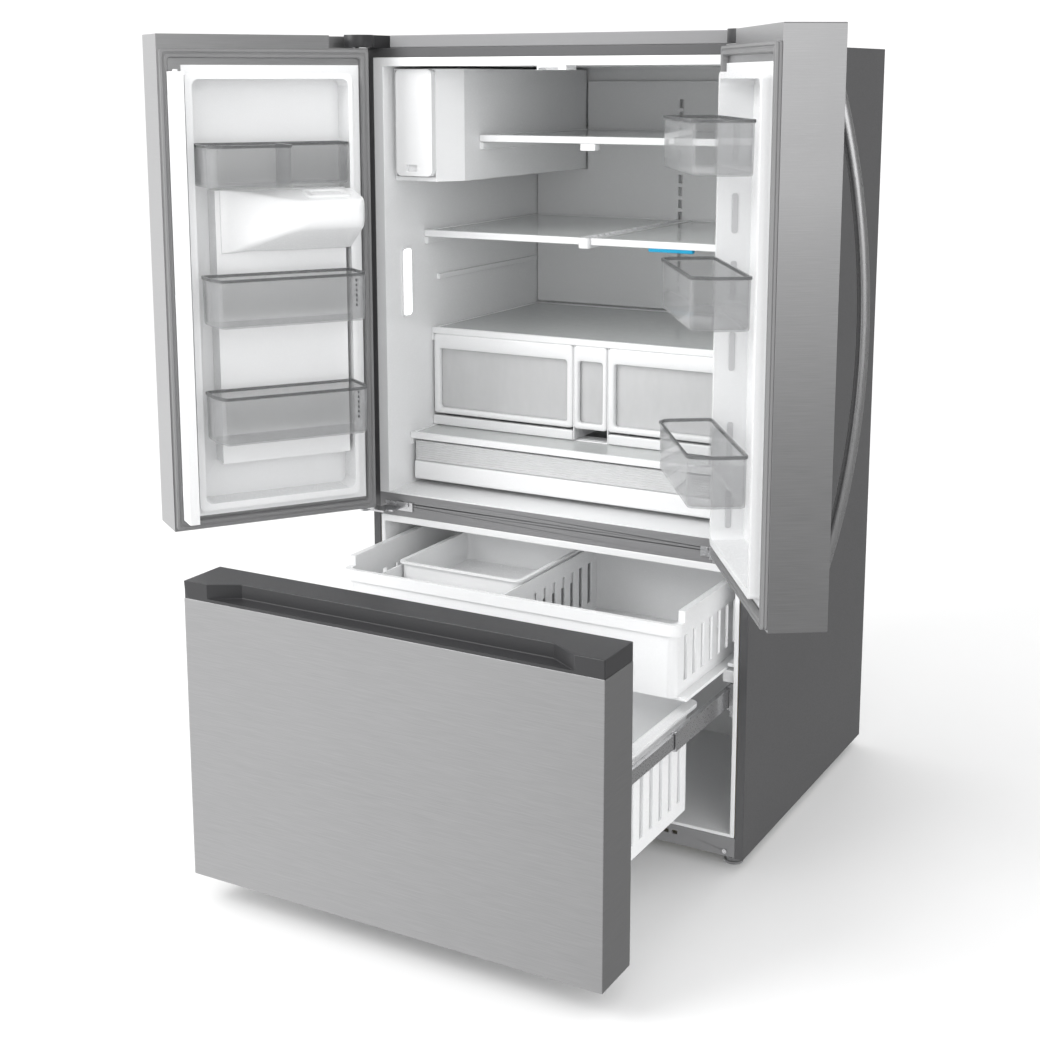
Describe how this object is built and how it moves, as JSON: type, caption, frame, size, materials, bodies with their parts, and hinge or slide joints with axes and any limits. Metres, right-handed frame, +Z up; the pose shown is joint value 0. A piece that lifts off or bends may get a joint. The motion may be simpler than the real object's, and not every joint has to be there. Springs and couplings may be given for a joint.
{
  "type": "french door refrigerator",
  "caption": "Freestanding refrigerator with two bow-handled doors over a deep pull-out freezer drawer, standing open.",
  "frame": {"origin": "on the floor, in the middle of the case's width, under the case's front edge", "axes": "+X to the user's right as they face it, +Y from the front of the case to its back, +Z up"},
  "size_m": [1.5624, 1.438, 1.7113],
  "materials": {
    "case_grey": "satin dark grey paint on steel sheet",
    "galvanised": "plain coated steel sheet",
    "stainless": "brushed stainless steel, grain along the width",
    "bright_steel": "zinc plated steel",
    "white_liner": "smooth white moulded plastic",
    "grey_plastic": "fine grained mid grey plastic",
    "dark_plastic": "fine grained dark grey plastic",
    "black_gloss": "glossy black plastic",
    "clear_plastic": "clear moulded plastic",
    "shelf_glass": "tempered clear glass",
    "lamp_lens": "milky white lamp lens",
    "seal_rubber": "soft dark grey seal",
    "foam": null,
    "black_iron": "black enamel",
    "coil_metal": "aluminium fins and tube"
  },
  "bodies": {
    "case": {"case_wrapper": "case_grey", "rear_panel": "galvanised", "machine_cover": "galvanised", "case_foam": "foam", "fresh_food_liner": "white_liner", "freezer_liner": "white_liner", "center_mullion": "grey_plastic", "base_plate": "grey_plastic", "base_frame": "galvanised", "top_trim": "grey_plastic", "hinge_covers": "dark_plastic", "hinge_brackets": "bright_steel", "levelling_feet": "grey_plastic", "compressor": "black_iron", "condenser": "coil_metal", "evaporator": "coil_metal", "evaporator_cover": "white_liner", "air_duct_panel": "white_liner", "ice_maker_housing": "white_liner", "ice_maker": "grey_plastic", "light_strips": "lamp_lens", "shelf_frames": "white_liner", "shelf_glass": "shelf_glass", "drawer_covers": "white_liner", "slide_outer": "bright_steel", "water_inlet": "grey_plastic", "screws": "bright_steel"},
    "left_door": {"left_door_panel": "stainless", "left_door_core": "foam", "left_door_liner": "white_liner", "left_door_gasket": "seal_rubber", "left_door_handle": "stainless", "left_door_bins": "clear_plastic", "ice_chute": "white_liner", "dispenser_panel": "black_gloss"},
    "right_door": {"right_door_panel": "stainless", "right_door_core": "foam", "right_door_liner": "white_liner", "right_door_gasket": "seal_rubber", "right_door_handle": "stainless", "right_door_bins": "clear_plastic"},
    "drawer": {"drawer_panel": "stainless", "drawer_core": "foam", "drawer_cap": "dark_plastic", "drawer_liner": "white_liner", "drawer_gasket": "seal_rubber", "freezer_bin": "white_liner", "slide_inner": "bright_steel"},
    "slide_middle": {"slide_middle": "bright_steel"},
    "upper_basket": {"upper_basket": "white_liner"},
    "small_tray": {"small_tray": "white_liner"},
    "flip_mullion": {"flip_mullion": "white_liner"},
    "chute_lid": {"chute_lid": "white_liner"},
    "dispenser_paddle": {"dispenser_paddle": "dark_plastic"},
    "ice_bucket": {"ice_bucket": "white_liner"},
    "left_crisper": {"left_crisper": "clear_plastic"},
    "middle_bin": {"middle_bin": "clear_plastic"},
    "right_crisper": {"right_crisper": "clear_plastic"},
    "deli_pan": {"deli_pan": "clear_plastic"},
    "rear_rollers": {"rear_rollers": "dark_plastic"}
  },
  "joints": [
    {"name": "left_door_hinge", "type": "hinge", "parent": "case", "child": "left_door", "pos_m": [-0.443, -0.05, 1.2], "axis": [0, 0, 1], "range_deg": [0, 124]},
    {"name": "right_door_hinge", "type": "hinge", "parent": "case", "child": "right_door", "pos_m": [0.443, -0.05, 1.2], "axis": [0, 0, -1], "range_deg": [0, 124]},
    {"name": "flip_mullion_turn", "type": "hinge", "parent": "left_door", "child": "flip_mullion", "pos_m": [-0.63102, -0.42979, 1.2], "axis": [0, 0, -1], "range_deg": [0, 90]},
    {"name": "chute_lid_hinge", "type": "hinge", "parent": "left_door", "child": "chute_lid", "pos_m": [-0.43705, -0.18067, 1.386], "axis": [0.5592, 0.829, 0], "range_deg": [-75, 0]},
    {"name": "paddle_push", "type": "hinge", "parent": "left_door", "child": "dispenser_paddle", "pos_m": [-0.59144, -0.20801, 1.26], "axis": [-0.5592, -0.829, 0], "range_deg": [0, 7], "stiffness_Nm_per_rad": 1},
    {"name": "drawer_slide", "type": "slide", "parent": "case", "child": "drawer", "axis": [0, 1, 0], "range_m": [0, 0.527]},
    {"name": "slide_middle_travel", "type": "slide", "parent": "case", "child": "slide_middle", "axis": [0, 1, 0], "range_m": [0, 0.2635]},
    {"name": "basket_travel", "type": "slide", "parent": "case", "child": "upper_basket", "axis": [0, 1, 0], "range_m": [0, 0.235]},
    {"name": "tray_travel", "type": "slide", "parent": "upper_basket", "child": "small_tray", "axis": [0, 1, 0], "range_m": [-0.06, 0.06]},
    {"name": "ice_bucket_travel", "type": "slide", "parent": "case", "child": "ice_bucket", "axis": [0, 1, 0], "range_m": [-0.28, 0]},
    {"name": "left_crisper_travel", "type": "slide", "parent": "case", "child": "left_crisper", "axis": [0, 1, 0], "range_m": [-0.23, 0]},
    {"name": "middle_bin_travel", "type": "slide", "parent": "case", "child": "middle_bin", "axis": [0, 1, 0], "range_m": [-0.3, 0]},
    {"name": "right_crisper_travel", "type": "slide", "parent": "case", "child": "right_crisper", "axis": [0, 1, 0], "range_m": [-0.23, 0]},
    {"name": "deli_pan_travel", "type": "slide", "parent": "case", "child": "deli_pan", "axis": [0, 1, 0], "range_m": [-0.14, 0]},
    {"name": "rollers_spin", "type": "hinge", "parent": "case", "child": "rear_rollers", "pos_m": [0, 0.71, 0.022], "axis": [1, 0, 0], "continuous": true}
  ],
  "couplings": [
    {"joint": "flip_mullion_turn", "follows": "left_door_hinge", "ratio": 0.72581},
    {"joint": "slide_middle_travel", "follows": "drawer_slide", "ratio": 0.5},
    {"joint": "basket_travel", "follows": "drawer_slide", "ratio": 0.44592}
  ]
}
